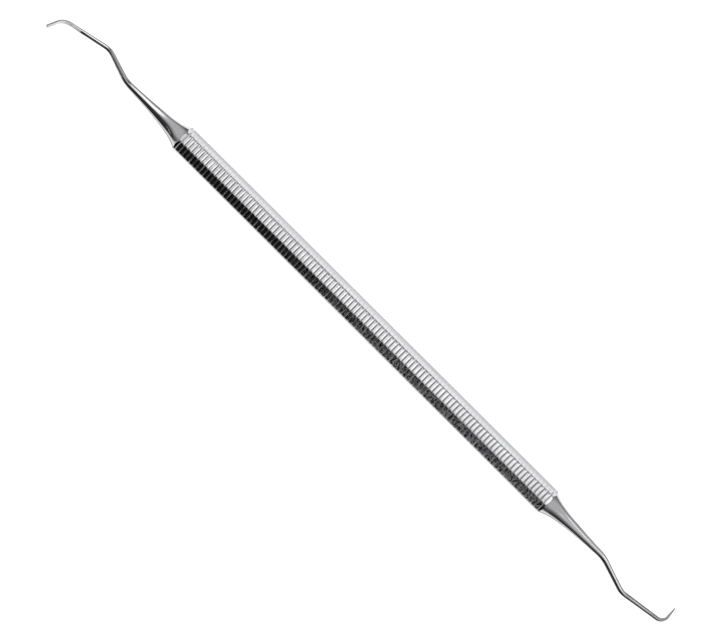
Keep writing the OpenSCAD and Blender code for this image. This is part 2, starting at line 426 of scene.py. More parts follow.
def octagon_angles(handle):
    """Directions in which the octagon is drawn: along each facet, and round each corner."""
    flat = octagon_flat(handle)
    angles = []
    for facet in range(8):
        low, high = facet * SECTOR - flat, facet * SECTOR + flat
        angles += [mix(low, high, i / FACET_STEPS) for i in range(FACET_STEPS)]
        angles += [mix(high, low + SECTOR, i / CORNER_STEPS) for i in range(CORNER_STEPS)]
    return angles


def octagon_mesh(handle):
    """Outline of the handle as a ring of edges, round the axis."""
    angles = octagon_angles(handle)
    radii = [octagon_radius(a, handle) for a in angles]
    points = [(r * math.cos(a), r * math.sin(a), 0.0) for r, a in zip(radii, angles)]
    edges = [(k, (k + 1) % len(points)) for k in range(len(points))]
    mesh = bpy.data.meshes.new("serrated_tube")
    mesh.from_pydata(points, edges, [])
    return mesh


def row_of_lands(tree, given, half):
    """Path along the axis, with one ring in the middle of each groove and two at each edge of a land, which
    is rounded there. Returns it with the share of the octagon's size that each ring has."""
    pitch = add(tree, "DIVIDE", (given["Length"], given["Lands"]))
    ring = add(tree, "GeometryNodeInputIndex")
    lands_done = add(tree, "DIVIDE", (ring, RINGS_PER_LAND))
    land = add(tree, "FLOOR", (lands_done,))
    step = add(tree, "MODULO", (ring, RINGS_PER_LAND))

    def chosen(values):
        """The value that belongs to the step, counted from 0."""
        total = 0.0
        for number, value in enumerate(values):
            here = add(tree, "COMPARE", (step, number, 0.5))
            total = add(tree, "MULTIPLY_ADD", (here, value, total))
        return total

    flat_start = add(tree, "ADD", (half["Groove width"], given["Edge width"]))
    flat_end = add(tree, "SUBTRACT", (pitch, flat_start))
    land_end = add(tree, "SUBTRACT", (pitch, half["Groove width"]))
    ahead = chosen((0.0, half["Groove width"], flat_start, flat_end, land_end))
    from_end = add(tree, "MULTIPLY_ADD", (land, pitch, ahead))
    along = add(tree, "SUBTRACT", (from_end, half["Length"]))

    # The depth of a groove differs from the next one's, but not at the two seams
    uneven = add(tree, "FunctionNodeRandomValue", {
        "Min": DEPTH_SHARES[0], "Max": DEPTH_SHARES[1], "ID": land, "Seed": given["Seed"]}, data_type="FLOAT")
    aside = add(tree, "ABSOLUTE", (along,))
    from_seam = add(tree, "SUBTRACT", (half["Length"], aside))
    inside = add(tree, "GREATER_THAN", (from_seam, half["Groove width"]))
    cut = add(tree, MIX, {"Factor": inside, "A": 1.0, "B": uneven})
    groove_depth = add(tree, "MULTIPLY", (given["Groove depth"], cut))
    depth = chosen((groove_depth, given["Edge drop"], 0.0, 0.0, given["Edge drop"]))
    sunk = add(tree, "DIVIDE", (depth, half["Across flats"]))
    share = add(tree, "SUBTRACT", (1.0, sunk))

    ring_count = add(tree, "MULTIPLY_ADD", (given["Lands"], RINGS_PER_LAND, 1.0))
    row = add(tree, "GeometryNodeMeshLine", {"Count": ring_count}, mode="OFFSET")
    spot = add(tree, JOIN_XYZ, {"X": along})
    placed = add(tree, "GeometryNodeSetPosition", {"Geometry": row, "Position": spot})
    in_groove = add(tree, "COMPARE", (step, 0.0, 0.5))
    marked = add(tree, "GeometryNodeStoreNamedAttribute", {
        "Geometry": placed, "Name": "groove", "Value": in_groove}, data_type="FLOAT", domain="POINT")
    return add(tree, "GeometryNodeMeshToCurve", {"Mesh": marked}), share


def uneven_grooves(tree, given, half, mesh):
    """Lets each groove stray a little on each facet and makes it shallower in places, more so towards the
    open end, and nearly fills it on the smooth facet. The two seams stay as they are."""
    where = add(tree, "GeometryNodeInputPosition")
    x = add(tree, SPLIT_XYZ, {"Vector": where}).outputs["X"]
    aside = add(tree, "ABSOLUTE", (x,))
    seam_gap = add(tree, "SUBTRACT", (half["Length"], aside))
    seam_w = add(tree, "MULTIPLY", (half["Groove width"], SEAM_REACH))
    free = add(tree, "GREATER_THAN", (seam_gap, seam_w))

    drift = add(tree, NOISE, {"Vector": where, "Scale": STRAY_SCALE, "Detail": 1.0})
    either_way = add(tree, "SUBTRACT", (drift, 0.5))
    away = add(tree, "MULTIPLY", (either_way, given["Wobble"]))
    stray = add(tree, "MULTIPLY", (away, free))
    shift = add(tree, JOIN_XYZ, {"X": stray})

    patch = add(tree, NOISE, {"Vector": where, "Scale": PATCH_SCALE, "Detail": 1.0})
    shallow = add(tree, RANGE, (patch, 0.42, 0.62, 0.0, PATCH_FILL))
    towards_open = add(tree, RANGE, (x, *PATCH_ENDS, *PATCH_LEFT))
    patched = add(tree, "MULTIPLY", (shallow, towards_open))
    across = add(tree, VECTOR_MATH, (where, (0.0, 1.0, 1.0)), operation="MULTIPLY")
    outward = add(tree, VECTOR_MATH, (across,), operation="NORMALIZE")
    facing = add(tree, VECTOR_MATH, (outward, SMOOTH_FACET), operation="DOT_PRODUCT")
    smoothed = add(tree, RANGE, (facing, *SMOOTH_EDGE, 0.0, SMOOTH_FILL))
    filled = add(tree, "MAXIMUM", (patched, smoothed))
    groove = add(tree, "GeometryNodeInputNamedAttribute", {"Name": "groove"}, data_type="FLOAT")
    free_groove = add(tree, "MULTIPLY", (groove, free))
    fill = add(tree, "MULTIPLY", (filled, given["Groove depth"]))
    raise_by = add(tree, "MULTIPLY", (fill, free_groove))
    lift = add(tree, VECTOR_MATH, {0: outward, "Scale": raise_by}, operation="SCALE")
    moved = add(tree, VECTOR_MATH, (shift, lift), operation="ADD")
    return add(tree, "GeometryNodeSetPosition", {"Geometry": mesh, "Offset": moved})


def bore_and_ends(tree, given, half, octagon):
    """Bore, with its faces towards the axis, and a flat ring at each end."""
    sides = (-1.0, 1.0)
    ends = []
    for side in sides:
        end_x = add(tree, "MULTIPLY", (half["Length"], side))
        ends.append(add(tree, JOIN_XYZ, {"X": end_x}))
    axis = add(tree, "GeometryNodeCurvePrimitiveLine", {"Start": ends[0], "End": ends[1]})
    hole = add(tree, "GeometryNodeCurvePrimitiveCircle", {"Resolution": BORE_SIDES, "Radius": half["Bore"]})
    bore = add(tree, "GeometryNodeCurveToMesh", {"Curve": axis, "Profile Curve": hole})
    inwards = add(tree, "GeometryNodeFlipFaces", {"Mesh": bore})
    sunk = add(tree, "DIVIDE", (given["Groove depth"], half["Across flats"]))
    end_share = add(tree, "SUBTRACT", (1.0, sunk))
    end_scale = add(tree, JOIN_XYZ, {"X": end_share, "Y": end_share, "Z": 1.0})
    rim = add(tree, "GeometryNodeTransform", {"Geometry": octagon, "Scale": end_scale})
    outline = add(tree, "GeometryNodeJoinGeometry", {"Geometry": [rim, hole]})
    disc = add(tree, "GeometryNodeFillCurve", {"Curve": outline}, mode="TRIANGLES")
    # A quarter turn about Y stands the flat ring across the axis, facing outwards at either end
    rings = [
        add(tree, "GeometryNodeTransform", {
            "Geometry": disc, "Translation": end, "Rotation": (0.0, side * math.pi / 2, 0.0)})
        for end, side in zip(ends, sides)]
    return [inwards, *rings]


def serrated_tube_tree():
    """Geometry Nodes for the handle: its outline swept along a row of lands and grooves, bored through."""
    tree = bpy.data.node_groups.new("serrated_tube", "GeometryNodeTree")
    tree.interface.new_socket("Geometry", in_out="OUTPUT", socket_type="NodeSocketGeometry")
    for kind, names in TUBE_INPUTS.items():
        for name in names:
            tree.interface.new_socket(name, in_out="INPUT", socket_type=kind)
    given = add(tree, "NodeGroupInput").outputs
    half = {
        name: add(tree, "DIVIDE", (given[name], 2.0))
        for name in ("Length", "Across flats", "Bore", "Groove width")}

    path, share = row_of_lands(tree, given, half)
    octagon = add(tree, "GeometryNodeMeshToCurve", {"Mesh": given["Outline"]})
    outside = add(tree, "GeometryNodeCurveToMesh", {"Curve": path, "Profile Curve": octagon, "Scale": share})
    worn = uneven_grooves(tree, given, half, outside)
    inside = bore_and_ends(tree, given, half, octagon)
    whole = add(tree, "GeometryNodeJoinGeometry", {"Geometry": [worn, *inside]})
    welded = add(tree, "GeometryNodeMergeByDistance", {"Geometry": whole, "Distance": 2 * MICRON})
    axis_height = add(tree, JOIN_XYZ, {"Z": given["Axis height"]})
    stood = add(tree, "GeometryNodeTransform", {"Geometry": welded, "Translation": axis_height})
    real = add(tree, "GeometryNodeRealizeInstances", {"Geometry": stood})
    clad = add(tree, "GeometryNodeSetMaterial", {"Geometry": real, "Material": given["Material"]})
    add(tree, "NodeGroupOutput", {"Geometry": clad})
    return tree


def settle(piece):
    """Turns a piece with modifiers into a plain mesh."""
    bpy.context.view_layer.update()
    depsgraph = bpy.context.evaluated_depsgraph_get()
    made = bpy.data.meshes.new_from_object(
        piece.evaluated_get(depsgraph), preserve_all_data_layers=True, depsgraph=depsgraph)
    spent = piece.data
    piece.modifiers.clear()
    piece.data = made
    made.name = piece.name
    bpy.data.meshes.remove(spent)


# Edges that turn more than this stay sharp
SHARP_TURN = math.radians(24)


def shade(piece):
    """Smooth shading with flat facets: wide faces decide the normals, and sharp edges stay sharp."""
    piece.data.shade_smooth()
    piece.data.set_sharp_from_angle(angle=SHARP_TURN)
    weights = piece.modifiers.new("flat_facets", "WEIGHTED_NORMAL")
    weights.mode = "FACE_AREA"
    weights.keep_sharp = True
    settle(piece)


def new_piece(name, mesh):
    """A new object at the origin, in the scene."""
    piece = bpy.data.objects.new(name, mesh)
    bpy.context.scene.collection.objects.link(piece)
    return piece


def fit_to_frame(piece, node):
    """Makes a finished piece stand for its node."""
    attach(piece, BODY)
    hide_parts(node)


# Working ends

# Columns of points over the face, and rings along each part of the path
FACE_COLUMNS = 16
FLARE_RINGS = 44
NECK_RINGS = 14
OFFSET_RINGS = 10
ELBOW_RINGS = 18
TERMINAL_RINGS = 40
HOOK_RINGS = 32
STRAIGHT_RINGS = 8
TOE_RINGS = 11
# How much closer the rings of a flare lie at the handle
FLARE_CROWDING = 1.8
# Half the angle that the face takes, seen from the centre line, at least
NARROWEST_FACE = math.radians(20)
# How far the rounding of the toe goes before its flat end
TOE_ROUND = math.radians(75)
# How far the smooth blade stays inside the straight-sided rings of the frame
SKIN = 0.008 * MM
CREST_HALF_W = 0.14 * MM
# Where the grinding stone starts to touch, from the start of the ground heel
STONE_EDGE = (-0.3 * MM, 0.2 * MM)
# How far before the toe the back of the blade becomes as ground as the face
TOE_GROUND = (-0.9 * MM, -0.4 * MM)
# How ground the heel is, of the face's 1
HEEL_GROUND = 0.5
# The least width of a plain facet on the collar
LEAST_FACET = 0.01 * MM


def smooth_step(low, high, value):
    """0 below low, 1 above high, with a soft rise between."""
    t = min(max((value - low) / (high - low), 0.0), 1.0)
    return t * t * (3 - 2 * t)


def mix(a, b, share):
    """The value a share of the way from a to b."""
    return a + (b - a) * share


def soft_min(a, b, soft):
    """The lesser of two values, with the change from one to the other rounded off."""
    near = max(soft - abs(a - b), 0.0)
    return min(a, b) - (near * near / soft / 4 if soft else 0.0)


def step_ahead(length, turn=0.0):
    """Move along a leg, with X ahead. It bends towards plus Y, or towards minus Y for a minus turn."""
    if not turn:
        return Matrix.Translation((length, 0, 0))
    radius = length / turn
    moved = Matrix.Translation((radius * math.sin(turn), radius * (1 - math.cos(turn)), 0))
    return moved @ Matrix.Rotation(turn, 4, "Z")


class WorkingEnd:
    """Mesh of one working end, drawn along plus X from the seam."""

    def __init__(self, sizes, end, handle):
        self.s, self.e, self.h = sizes, end, handle
        self.verts, self.faces, self.sweep, self.ground = [], [], [], []
        self.rows = []
        self.roll = Matrix.Rotation(end.lean, 4, "X")
        # The columns start where the face of the blade starts, seen in the rolled frame of the hook
        start = -NARROWEST_FACE
        self.facet_angles = sorted((a - end.lean - start) % math.tau + start for a in octagon_angles(handle))
        self.columns = len(self.facet_angles)
        self.measure_path()

    def measure_path(self):
        """Legs of the path after the flare, and the places along it where the blade changes."""
        s, e = self.s, self.e
        neck_leg = s.neck_bend_r * math.tan(e.neck_turn / 2)
        elbow_leg = s.elbow_bend_r * math.tan(e.elbow_turn / 2)
        hook_leg = e.hook_r * math.tan(e.hook_turn / 2)
        terminal_l = e.terminal_l - elbow_leg - hook_leg
        hook_l = e.hook_r * e.hook_turn
        toe_l = e.blade_l - hook_leg - SKIN
        self.flare_l = e.neck_l - neck_leg
        # Length, turn and number of rings of each leg
        self.shank_legs = (
            (s.neck_bend_r * e.neck_turn, -e.neck_turn, NECK_RINGS),
            (e.offset_l - neck_leg - elbow_leg, 0.0, OFFSET_RINGS),
            (s.elbow_bend_r * e.elbow_turn, e.elbow_turn, ELBOW_RINGS),
            (terminal_l, 0.0, TERMINAL_RINGS),
        )
        self.blade_legs = ((hook_l, e.hook_turn, HOOK_RINGS), (toe_l - s.toe_r, 0.0, STRAIGHT_RINGS))
        self.heel_l = terminal_l - s.heel_start
        self.hook_start = self.flare_l + sum(leg[0] for leg in self.shank_legs)
        self.crest_at = self.hook_start + s.crest_l
        self.toe_end = self.hook_start + hook_l + toe_l

    def taper_d(self, reach):
        """Diameter of the flare and shank, from the end of the facets outwards."""
        s = self.s
        lip = self.h.across_flats - s.shank_d - s.taper_swell
        return s.shank_d + s.taper_swell * math.exp(-reach / s.taper_l) + lip * math.exp(-reach / s.lip_l)

    def add_row(self, points, sweeps, ground=None):
        """Adds one row of points round the piece and joins it to the row before."""
        n = self.columns
        base = len(self.verts)
        self.verts += points
        self.sweep += sweeps
        self.ground += ground or [0.0] * n
        if self.rows:
            last = self.rows[-1]
            for k in range(n):
                k2 = (k + 1) % n
                self.faces.append((last + k, last + k2, base + k2, base + k))
        self.rows.append(base)

    def add_round(self, xs, radii, angles):
        """Adds a row with a distance from the seam and a radius for each direction."""
        local = [Vector((x, r * math.cos(a), r * math.sin(a))) for x, r, a in zip(xs, radii, angles)]
        self.add_row([self.roll @ p for p in local], local)

    def add_cap(self, base, backwards):
        """Closes the piece at a row."""
        ring = [base + k for k in range(self.columns)]
        tip = len(self.verts)
        self.verts.append(sum((self.verts[i] for i in ring), Vector()) / self.columns)
        self.sweep.append(sum((self.sweep[i] for i in ring), Vector()) / self.columns)
        self.ground.append(self.ground[base])
        for a, b in zip(ring, ring[1:] + ring[:1]):
            self.faces.append((b, a, tip) if backwards else (a, b, tip))

    def crease(self, angle_in_handle):
        """Distance from the seam at which the flare cuts through a facet, in one direction."""
        radius = octagon_radius(angle_in_handle, self.h)
        low, high = -self.s.collar_l, self.s.collar_l
        for _ in range(40):
            middle = (low + high) / 2
            if self.taper_d(middle) / 2 > radius:
                low = middle
            else:
                high = middle
        return low + self.s.collar_l

    def draw_tang_and_collar(self):
        """Tang, seam, half a groove and the plain facets up to the flare. Returns where each facet ends."""
        s, h, n = self.s, self.h, self.columns
        angles = self.facet_angles
        tang_r = s.tang_d / 2
        tang = ((-s.tang_l, tang_r - s.tang_chamfer), (s.tang_chamfer - s.tang_l, tang_r), (0.0, tang_r))
        for x, radius in tang:
            self.add_round([x] * n, [radius] * n, angles)
        in_handle = [a + self.e.lean for a in angles]
        facet = [octagon_radius(a, h) for a in in_handle]
        groove_share = 1 - h.groove_depth / (h.across_flats / 2)
        self.add_round([0.0] * n, [r * groove_share for r in facet], angles)
        self.add_round([h.groove_w / 2] * n, facet, angles)
        ends = [max(self.crease(a), h.groove_w / 2 + LEAST_FACET) for a in in_handle]
        self.add_round(ends, facet, angles)
        return ends

    def blade_angles(self, half_face):
        """Directions round a ring: evenly over the face, then evenly over the back."""
        back = self.columns - FACE_COLUMNS
        over_face = [mix(-half_face, half_face, k / FACE_COLUMNS) for k in range(FACE_COLUMNS)]
        over_back = [mix(half_face, math.tau - half_face, k / back) for k in range(back)]
        return over_face + over_back

    def draw_flare(self, ends):
        """Trumpet from the ends of the facets to the first bend."""
        round_angles = self.blade_angles(NARROWEST_FACE)
        for i in range(1, FLARE_RINGS + 1):
            part = (i / FLARE_RINGS) ** FLARE_CROWDING
            xs = [mix(x, self.flare_l, part) for x in ends]
            turned = smooth_step(0.05, 0.6, part)
            angles = [mix(a, b, turned) for a, b in zip(self.facet_angles, round_angles)]
            self.add_round(xs, [self.taper_d(x - self.s.collar_l) / 2 for x in xs], angles)

    def shape(self, at):
        """Width, back and face at a distance along the path, softness of the edge, how far face and back were
        ground, and how far the face is rolled back."""
        s, e = self.s, self.e
        run = min(max(1 - (self.hook_start - at) / self.heel_l, 0.0), 1.0)
        width = mix(self.taper_d(at - s.collar_l), s.blade_w - 2 * SKIN, run)
        crest = s.crest_h * max(1 - abs(at - self.crest_at) / CREST_HALF_W, 0.0)
        past_heel = max(at - self.hook_start, 0.0) / (self.toe_end - self.hook_start)
        thin = mix(1.0, e.toe_t / e.blade_t, past_heel)
        face = (mix(width / 2, e.blade_t - s.blade_w / 2, run ** 2) + crest) * thin
        on_stone = smooth_step(*STONE_EDGE, at - self.hook_start + s.ground_l)
        soft = s.soft_edge * smooth_step(0.0, 0.25, run) * (1 - on_stone)
        ground = on_stone * (1.0 if at > self.crest_at else HEEL_GROUND)
        back_ground = ground * mix(e.back_ground, 1.0, smooth_step(*TOE_GROUND, at - self.toe_end))
        twist = e.heel_twist * on_stone * (1 - smooth_step(0.0, s.twist_l, at - self.crest_at))
        return width, width / 2 * thin, face, soft, ground, back_ground, twist

    def section(self, place, at, share=1.0):
        """Adds a ring of the shank or blade: round behind, cut off flat at the height of the face. A share
        below 1 shrinks it towards the middle of its face, for the toe."""
        width, back, face, soft, face_ground, back_ground, twist = self.shape(at)
        place = place @ Matrix.Rotation(-twist, 4, "X")
        radius = width / 2
        half_face = max(math.acos(min(face / radius, 1.0)), NARROWEST_FACE)
        top = min(face, radius)
        points, sweeps, ground = [], [], []
        for k, angle in enumerate(self.blade_angles(half_face)):
            cosine = math.cos(angle)
            height = soft_min(radius * cosine, face, soft) if cosine > 0 else back * cosine
            height = mix(top, height, share)
            side = radius * math.sin(angle) * share
            points.append(place @ Vector((0.0, height, side)))
            sweeps.append(Vector((at, height, side)))
            ground.append(face_ground if k <= FACE_COLUMNS or share < 1 else back_ground)
        self.add_row(points, sweeps, ground)

    def draw_legs(self, legs, place, at, turned):
        """Adds the rings of legs in a row, each ring turned about the path, and returns where they end."""
        for length, turn, rings in legs:
            for i in range(1, rings + 1):
                part = i / rings
                self.section(place @ step_ahead(length * part, turn * part) @ turned, at + length * part)
            place = place @ step_ahead(length, turn)
            at += length
        return place, at

    def draw(self):
        """Draws the whole piece and returns its mesh."""
        self.draw_flare(self.draw_tang_and_collar())
        place, at = self.draw_legs(self.shank_legs, step_ahead(self.flare_l), self.flare_l, self.roll)
        place, at = self.draw_legs(self.blade_legs, place @ self.roll, at, Matrix.Identity(4))
        for i in range(1, TOE_RINGS + 1):
            angle = TOE_ROUND * i / TOE_RINGS
            reach = self.s.toe_r * math.sin(angle)
            self.section(place @ step_ahead(reach), at + reach, math.cos(angle))
        self.add_cap(self.rows[-1], backwards=False)
        self.add_cap(self.rows[0], backwards=True)
        return self.mesh()

    def mesh(self):
        """Plain mesh with the attributes that its finish reads."""
        made = bpy.data.meshes.new("working_end")
        made.from_pydata([tuple(v) for v in self.verts], [], self.faces)
        sweep = made.attributes.new("sweep", "FLOAT_VECTOR", "POINT")
        sweep.data.foreach_set("vector", [c for v in self.sweep for c in v])
        made.attributes.new("ground", "FLOAT", "POINT").data.foreach_set("value", self.ground)
        return made


class SCALER_OT_handle(bpy.types.Operator):
    """Makes the serrated tube"""
    bl_idname = "scaler.handle"
    bl_label = "Serrated handle"

    def execute(self, context):
        sizes = context.scene.scaler.handle
        # An odd number of lands, so that one lies in the middle
        lands = 2 * math.floor(sizes.length / sizes.pitch / 2) + 1
        values = {size.name: getattr(sizes, size.identifier) for size in sizes.bl_rna.properties}
        values["Lands"] = lands
        values["Axis height"] = AXIS_Z
        values["Material"] = serrated_stainless(context.scene.scaler.colours)
        tree = serrated_tube_tree()
        piece = new_piece("serrated_tube", octagon_mesh(sizes))
        modifier = piece.modifiers.new("serrated_tube", "NODES")
        modifier.node_group = tree
        for socket in tree.interface.items_tree:
            if socket.in_out == "INPUT" and socket.name in values:
                modifier[socket.identifier] = values[socket.name]
        settle(piece)
        shade(piece)
        fit_to_frame(piece, "handle_tube")
        return {"FINISHED"}


class SCALER_OT_working_ends(bpy.types.Operator):
    """Makes the two forged ends with their flares, shanks and blades"""
    bl_idname = "scaler.working_ends"
    bl_label = "Working ends"

    def execute(self, context):
        settings = context.scene.scaler
        material = forged_stainless(settings.colours)
        half_l = settings.handle.length / 2
        at_open = Matrix.Translation((-half_l, 0, AXIS_Z)) @ Matrix.Rotation(math.pi, 4, "Z")
        at_closed = Matrix.Translation((half_l, 0, AXIS_Z))
        sides = (
            ("open_hook_end", "open_working_end", settings.open_end, at_open),
            ("closed_hook_end", "closed_working_end", settings.closed_end, at_closed),
        )
        for name, node, end, place in sides:
            mesh = WorkingEnd(settings.shank, end, settings.handle).draw()
            mesh.transform(place)
            piece = new_piece(name, mesh)
            mesh.materials.append(material)
            shade(piece)
            fit_to_frame(piece, node)
        return {"FINISHED"}


class SCALER_OT_plugs(bpy.types.Operator):
    """Gives the two plugs inside the tube their finish"""
    bl_idname = "scaler.plugs"
    bl_label = "Plugs"

    def execute(self, context):
        material = turned_stainless(context.scene.scaler.colours)
        for node in ("open_end_plug", "closed_end_plug"):
            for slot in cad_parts[node].material_slots:
                slot.material = material
        return {"FINISHED"}


# Stage

# The picture: its width at the handle, the point at its middle, and how the handle lies in it
VIEW_WIDTH = 150.9 * MM
VIEW_CENTRE = Vector((-1.82 * MM, -0.345 * MM, AXIS_Z))
VIEW_TURN = math.radians(44.87)
VIEW_TILT = math.radians(6.3)
CAMERA_DISTANCE = 1.2
SENSOR_WIDTH = 36.0

FLOOR_RADIUS = 6.0
FLOOR_SIDES = 64
FLOOR_GAP = 0.02 * MM
FLOOR_GLOW = (1.24, 1.3)
FLOOR_CLOUD = 50 * MM
# Glowing cards that only the steel shows, as painted reflections: corners in millimetres, light beside the
# tool and far off, how far the first reaches and how fast it fades, the same three beside the closed shank,
# and height over the floor
CARDS = {
    "black_card": dict(
        outline=((-84, -2), (-84, -10), (-95, -40), (-1500, -600), (-1500, -2500), (1500, -2500), (1500, -2)),
        near=1.25, far=0.03, reach=8 * MM, fade=16 * MM, closed=(0.5, 3 * MM, 4 * MM)),
    "open_shade": dict(
        outline=((-58, 1), (-64, 12), (-64, 1500), (-1500, 1500), (-1500, 1)),
        near=0.95, far=0.12, reach=6 * MM, fade=3 * MM),
    "closed_shade": dict(
        outline=((63, 1), (80, 1), (1500, 300), (1500, 1500), (68, 1500)),
        near=1.05, far=0.25, reach=6 * MM, fade=4 * MM),
    "grey_strip": dict(
        outline=((-58, 22), (60, 22), (60, 42), (-58, 42)), near=0.85, far=0.8, reach=22 * MM, fade=20 * MM),
    # Painted shadow: the darker cards along the lower side of the tool, beside the handle and both shanks,
    # stand for the floor's contact shadow as the steel reflects it
    "handle_painted_shadow": dict(outline=((-55, -1), (-55, -4.5), (55, -4.5), (55, -1)), near=0.85, far=0.8),
    "open_painted_shadow": dict(
        outline=((-56, -2), (-68, 0), (-76, 2.2), (-76, -1.6), (-68, -4), (-56, -6)), near=0.55, far=0.5),
    "toe_card": dict(outline=((-91, -2), (-84.5, -2), (-84.5, -8), (-91, -8)), near=0.9, far=0.9),
    "closed_painted_shadow": dict(outline=((56, -2), (69, -0.4), (69, -4), (56, -6)), near=0.55, far=0.5),
    "terminal_shade": dict(outline=((76, -2.2), (90, -0.6), (92, 10), (80, 10)), near=0.35, far=0.3),
    "hook_card": dict(
        outline=((90.6, -1), (1500, -1), (1500, 600), (100, 60), (91.5, 8)),
        near=0.4, far=0.25, reach=1 * MM, fade=20 * MM),
    "hook_flag": dict(outline=((86.9, 0), (92, 0), (92, 5), (86.9, 5)), near=0.1, far=0.1, lift=8 * MM),
}
# The light of a card changes to that beside the closed shank between these two places along X
CARD_CHANGE = (58 * MM, 78 * MM)

# The studio round the tool, by direction: minus 1 to 1 along an axis, in pairs where a change starts and ends
# Along X: the middle of the dark part, and how far it spreads from there
DARK_MIDDLE = -0.2
DARK_SPREAD = (0.08, 0.44)
# Along Y: where black ends and where grey starts, in the middle of the dark part and beside it
BLACK_ENDS = (-0.5, -1.0)
GREY_STARTS = (0.4, -0.2)
BLACK_LIGHT, GREY_LIGHT = 0.045, 0.8
# Along Z: up to where the walls are dimmer, and how dim they are at the floor
DIM_HEIGHT = 0.5
DIM_LIGHT = 0.5
# Along X: a dark beam across the ceiling
BEAM_MIDDLE = -0.06
BEAM_EDGE = (0.03, 0.1)
BEAM_LIGHT = 0.03
# Along Y: the edge of the backdrop
BACKDROP_EDGE = (0.974, 0.99)
BACKDROP_LIGHT = 1.27
# What the camera itself sees beyond the floor
SEEN_WHITE = "#F7F7F7"

# Lights that show in the steel: size, centre, the point each one faces, turn about its own axis in degrees,
# and radiance
LIGHTS = {
    "strip_softbox": ((0.15, 0.88), (-0.225, 0.41, 0.68), (-0.225, 0.0, 0.0), 0.0, 1.1),
    "overhead_panel": ((0.2, 0.085), (0.0, 0.066, 0.62), (0.0, 0.066, 0.0), 0.0, 1.1),
    "overhead_tube": ((0.28, 0.05), (0.26, -0.055, 0.62), (0.26, -0.055, 0.0), -10.0, 0.7),
    "neck_softbox": ((0.06, 0.6), (0.214, 0.354, 0.65), (0.214, 0.0, 0.0), -17.0, 1.2),
    "light_slit": ((0.02, 0.55), (-0.49, -0.87, 0.38), (0.0, 0.0, 0.0), 0.0, 1.0),
}


def acrylic_floor(colours):
    """White acrylic sheet lit from below: an even white on which shadows stay faint."""
    material, tree, shader = shader_tree("white_acrylic_lit_from_below")
    place = add(tree, "ShaderNodeTexCoord").outputs["Object"]
    cloud = add(tree, NOISE, {"Vector": place, "Scale": 1 / FLOOR_CLOUD, "Detail": 2.0})
    glow = add(tree, RANGE, (cloud, 0.0, 1.0, *FLOOR_GLOW))
    feed(tree, shader, {
        "Base Color": rgba([c * 0.4 for c in colours.floor]), "Roughness": 0.9, "Specular IOR Level": 0.1,
        "Emission Color": rgba(colours.floor), "Emission Strength": glow})
    return material


def graded_card(name, near, far, reach=9 * MM, fade=5 * MM, closed=None):
    """Glowing card, a painted reflection, light beside the tool and darker further off: the dark side of
    reflections.
    """
    material, tree, shader = shader_tree("reflection_card_" + name)
    place = add(tree, "ShaderNodeTexCoord").outputs["Object"]
    x, y, _ = add(tree, SPLIT_XYZ, {"Vector": place}).outputs
    by_handle = (near, reach, fade)
    near, reach, fade = (
        add(tree, RANGE, (x, *CARD_CHANGE, here, there))
        for here, there in zip(by_handle, closed or by_handle))
    aside = add(tree, "ABSOLUTE", (y,))
    past = add(tree, "SUBTRACT", (aside, reach))
    off = add(tree, "MAXIMUM", (past, 0.0))
    fades = add(tree, "DIVIDE", (off, fade))
    left = add(tree, "POWER", (1 / math.e, fades))
    glow = add(tree, RANGE, (left, 0.0, 1.0, far, near))
    feed(tree, shader, {
        "Base Color": rgba((0.0, 0.0, 0.0)), "Specular IOR Level": 0.0,
        "Emission Color": rgba((1.0, 1.0, 1.0)), "Emission Strength": glow})
    return material


def studio_world(scene):
    """Studio that the steel shows: black low down on the side of minus Y, grey overhead and a white backdrop
    on the side of plus Y. Towards minus X the black reaches nearly overhead, towards plus X it gives way to
    grey sooner. A dark beam runs across the middle of the ceiling. The camera itself sees plain white."""
    world = bpy.data.worlds.new("studio")
    scene.world = world
    world.use_nodes = True
    tree = world.node_tree
    tree.nodes.clear()
    direction = add(tree, "ShaderNodeTexCoord").outputs["Generated"]
    x, y, z = add(tree, SPLIT_XYZ, {"Vector": direction}).outputs

    def change_beside(middle, edge, low, high):
        """A soft change from one value to another, alike on both sides of a place along X."""
        off = add(tree, "SUBTRACT", (x, middle))
        aside = add(tree, "ABSOLUTE", (off,))
        return add(tree, RANGE, (aside, *edge, low, high), **SOFT)

    side = change_beside(DARK_MIDDLE, DARK_SPREAD, 0.0, 1.0)
    black_end = add(tree, MIX, {"Factor": side, "A": BLACK_ENDS[0], "B": BLACK_ENDS[1]})
    grey_start = add(tree, MIX, {"Factor": side, "A": GREY_STARTS[0], "B": GREY_STARTS[1]})
    walls = add(tree, RANGE, (y, black_end, grey_start, BLACK_LIGHT, GREY_LIGHT), **SOFT)
    low_down = add(tree, RANGE, (z, 0.0, DIM_HEIGHT, DIM_LIGHT, 1.0), **SOFT)
    beam = change_beside(BEAM_MIDDLE, BEAM_EDGE, BEAM_LIGHT, 1.0)
    lit = add(tree, "MULTIPLY", (walls, low_down))
    ceiling = add(tree, "MULTIPLY", (lit, beam))
    backdrop = add(tree, RANGE, (y, *BACKDROP_EDGE, 0.0, BACKDROP_LIGHT), **SOFT)
    strength = add(tree, "MAXIMUM", (ceiling, backdrop))
    studio = add(tree, "ShaderNodeBackground", {"Strength": strength})
    seen = add(tree, "ShaderNodeBackground", {"Color": rgba(linear(SEEN_WHITE))})
    by_camera = add(tree, "ShaderNodeLightPath").outputs["Is Camera Ray"]
    either = add(tree, "ShaderNodeMixShader", (by_camera, studio, seen))
    add(tree, "ShaderNodeOutputWorld", {"Surface": either})


def make_floor(colours):
    """A round floor just below the tool."""
    turns = [math.tau * k / FLOOR_SIDES for k in range(FLOOR_SIDES)]
    corners = [(FLOOR_RADIUS * math.cos(t), FLOOR_RADIUS * math.sin(t), -FLOOR_GAP) for t in turns]
    mesh = bpy.data.meshes.new("floor")
    mesh.from_pydata(corners, [], [range(FLOOR_SIDES)])
    mesh.materials.append(acrylic_floor(colours))
    new_piece("floor", mesh)


